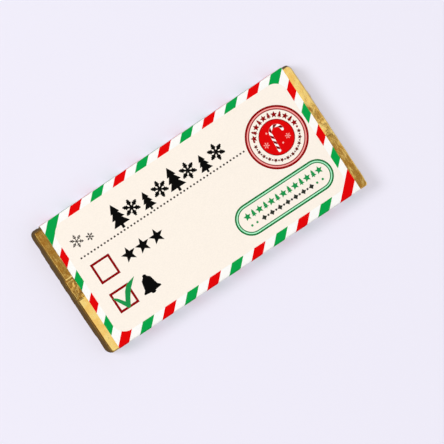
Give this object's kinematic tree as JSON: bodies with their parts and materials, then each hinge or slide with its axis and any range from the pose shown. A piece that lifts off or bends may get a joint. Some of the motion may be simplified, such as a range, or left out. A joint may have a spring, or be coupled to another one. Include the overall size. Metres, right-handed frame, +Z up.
{
  "type": "mini chocolate bar",
  "caption": "Small flat chocolate bar wrapped in gold foil, inside a printed paper sleeve that is open at both ends.",
  "frame": {"origin": "middle of the underside, on the surface that the bar lies on", "axes": "+X along the bar's length, +Y across its width, +Z up through the printed side"},
  "size_m": [0.096, 0.045, 0.0072],
  "materials": {
    "gold_foil": "thin gold-coloured foil, bright, softly crinkled",
    "printed_paper": "matt coated paper, cream panel in a white border with slanted red and green stripes"
  },
  "bodies": {
    "root": {"foil_wrapped_bar": "gold_foil", "paper_sleeve": "printed_paper"}
  },
  "joints": []
}
